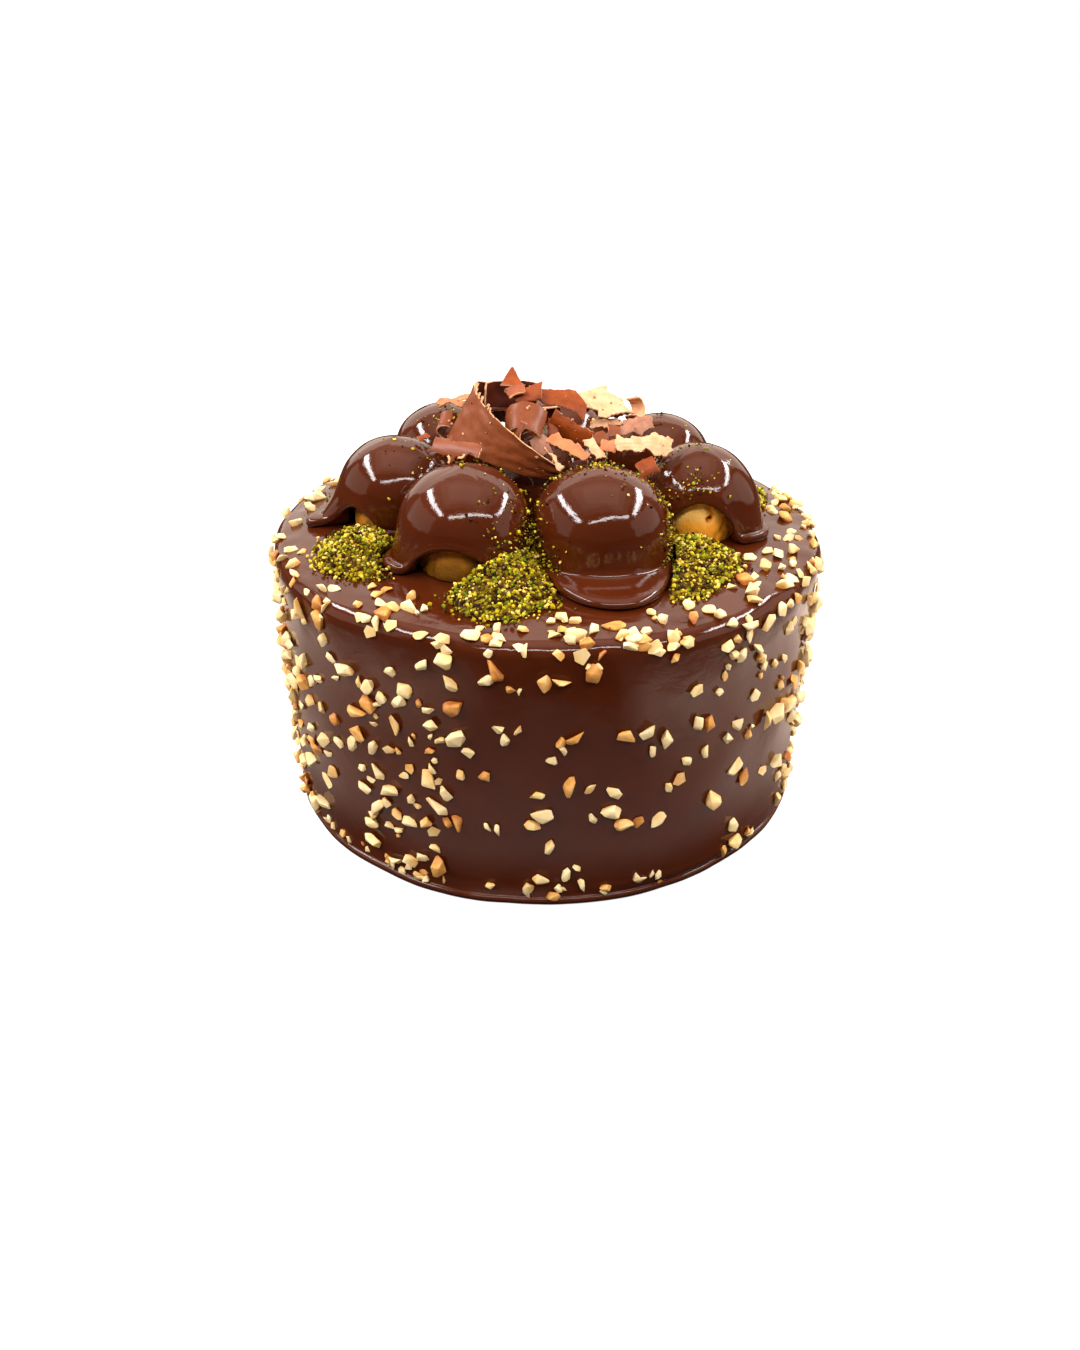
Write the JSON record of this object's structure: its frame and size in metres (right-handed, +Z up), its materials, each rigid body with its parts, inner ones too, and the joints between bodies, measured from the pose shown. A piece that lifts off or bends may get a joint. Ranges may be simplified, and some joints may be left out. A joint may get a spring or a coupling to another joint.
{
  "type": "profiterole cake",
  "caption": "Round chocolate-glazed cake with hazelnuts on its side, topped with coated cream puffs, ground pistachio and a pile of chocolate curls.",
  "frame": {"origin": "centre of the flat base that the cake rests on", "axes": "+Z up out of the cake's top; -Y is the side with the pool of chocolate in front of a puff"},
  "size_m": [0.1872, 0.1882, 0.1373],
  "materials": {
    "chocolate": "very glossy poured dark chocolate glaze",
    "choux": "baked golden choux pastry",
    "pistachio": "coarsely ground pistachio",
    "curl": "satin milk chocolate, paler on torn faces and edges"
  },
  "bodies": {
    "root": {"bun_back": "choux", "bun_back_left": "choux", "bun_front_left": "choux", "bun_left": "choux", "bun_right": "choux", "cake": "chocolate", "coat_back": "chocolate", "coat_back_left": "chocolate", "coat_front_left": "chocolate", "coat_left": "chocolate", "coat_right": "chocolate", "curl_back_flake": "curl", "curl_back_petal": "curl", "curl_back_roll": "curl", "curl_back_sheet": "curl", "curl_back_strip": "curl", "curl_band": "curl", "curl_front_strip": "curl", "curl_gap_flake": "curl", "curl_half_tube": "curl", "curl_inner_roll": "curl", "curl_leaf": "curl", "curl_left_roll": "curl", "curl_left_strip": "curl", "curl_loop": "curl", "curl_low_flake": "curl", "curl_mid_flake": "curl", "curl_pale_sheet": "curl", "curl_petal": "curl", "curl_right_flake": "curl", "curl_right_sheet": "curl", "curl_shadow_sheet": "curl", "curl_shard": "curl", "curl_side_flake": "curl", "curl_sliver": "curl", "curl_spike": "curl", "curl_stack_strip": "curl", "pistachio_back_left": "pistachio", "pistachio_back_right": "pistachio", "pistachio_front": "pistachio", "pistachio_front_left": "pistachio", "pistachio_front_right": "pistachio", "pistachio_side_left": "pistachio", "pistachio_side_right": "pistachio", "profiterole_back_right": "chocolate", "profiterole_centre": "chocolate", "profiterole_front_right": "chocolate"}
  },
  "joints": []
}
